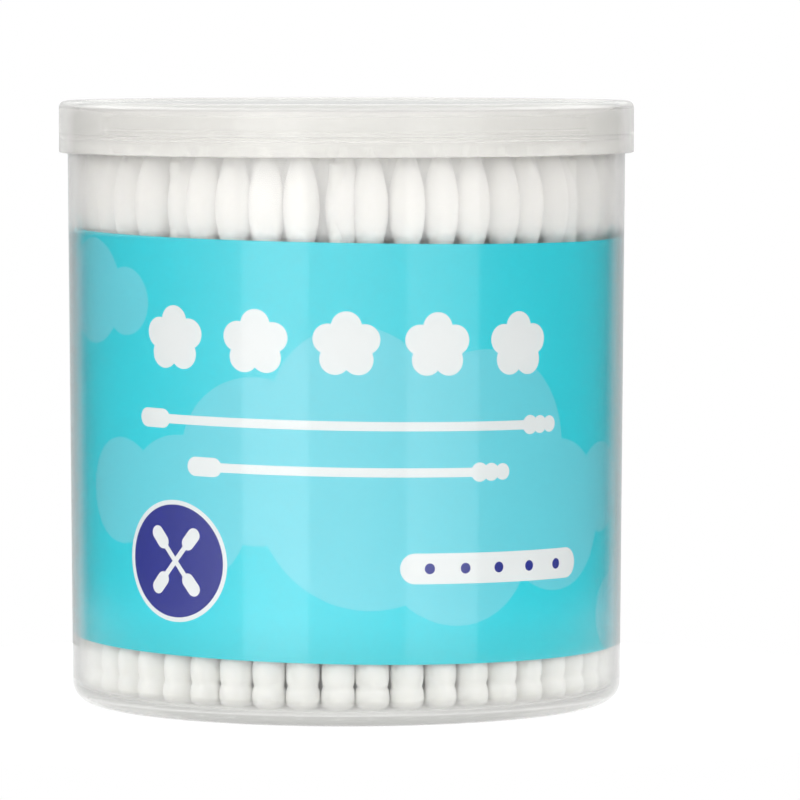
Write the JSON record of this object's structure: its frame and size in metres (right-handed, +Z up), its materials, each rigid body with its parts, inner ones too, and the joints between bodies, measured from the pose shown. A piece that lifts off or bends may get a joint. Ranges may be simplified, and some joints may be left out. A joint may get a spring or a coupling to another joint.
{
  "type": "cotton swab box",
  "caption": "Round translucent tub with a lift-off lid, packed with upright double-ended cotton swabs inside a rolled label sheet.",
  "frame": {"origin": "middle of the foot ring, on the surface that the tub stands on", "axes": "+Z up along the tub's axis, the front of the label faces -Y"},
  "size_m": [0.0774, 0.0774, 0.0809],
  "materials": {
    "tub_plastic": "glossy natural translucent polypropylene",
    "lid_plastic": "satin natural translucent polypropylene",
    "printed_sheet": "printed plastic sheet, turquoise with lighter fields",
    "stick_white": "smooth white",
    "cotton": "soft wound cotton"
  },
  "bodies": {
    "tub": {"tub": "tub_plastic", "label_sheet": "printed_sheet", "sticks_ring_1": "stick_white", "pointed_heads_ring_1": "cotton", "spiral_heads_ring_1": "cotton", "sticks_ring_2": "stick_white", "pointed_heads_ring_2": "cotton", "spiral_heads_ring_2": "cotton", "sticks_ring_3": "stick_white", "pointed_heads_ring_3": "cotton", "spiral_heads_ring_3": "cotton", "sticks_ring_4": "stick_white", "pointed_heads_ring_4": "cotton", "spiral_heads_ring_4": "cotton", "sticks_ring_5": "stick_white", "pointed_heads_ring_5": "cotton", "spiral_heads_ring_5": "cotton", "sticks_ring_6": "stick_white", "pointed_heads_ring_6": "cotton", "spiral_heads_ring_6": "cotton", "sticks_ring_7": "stick_white", "pointed_heads_ring_7": "cotton", "spiral_heads_ring_7": "cotton", "sticks_ring_8": "stick_white", "pointed_heads_ring_8": "cotton", "spiral_heads_ring_8": "cotton"},
    "lid": {"lid": "lid_plastic"}
  },
  "joints": [
    {"name": "lid_lift", "type": "slide", "parent": "tub", "child": "lid", "axis": [0, 0, 1], "range_m": [0, 0.03]}
  ]
}
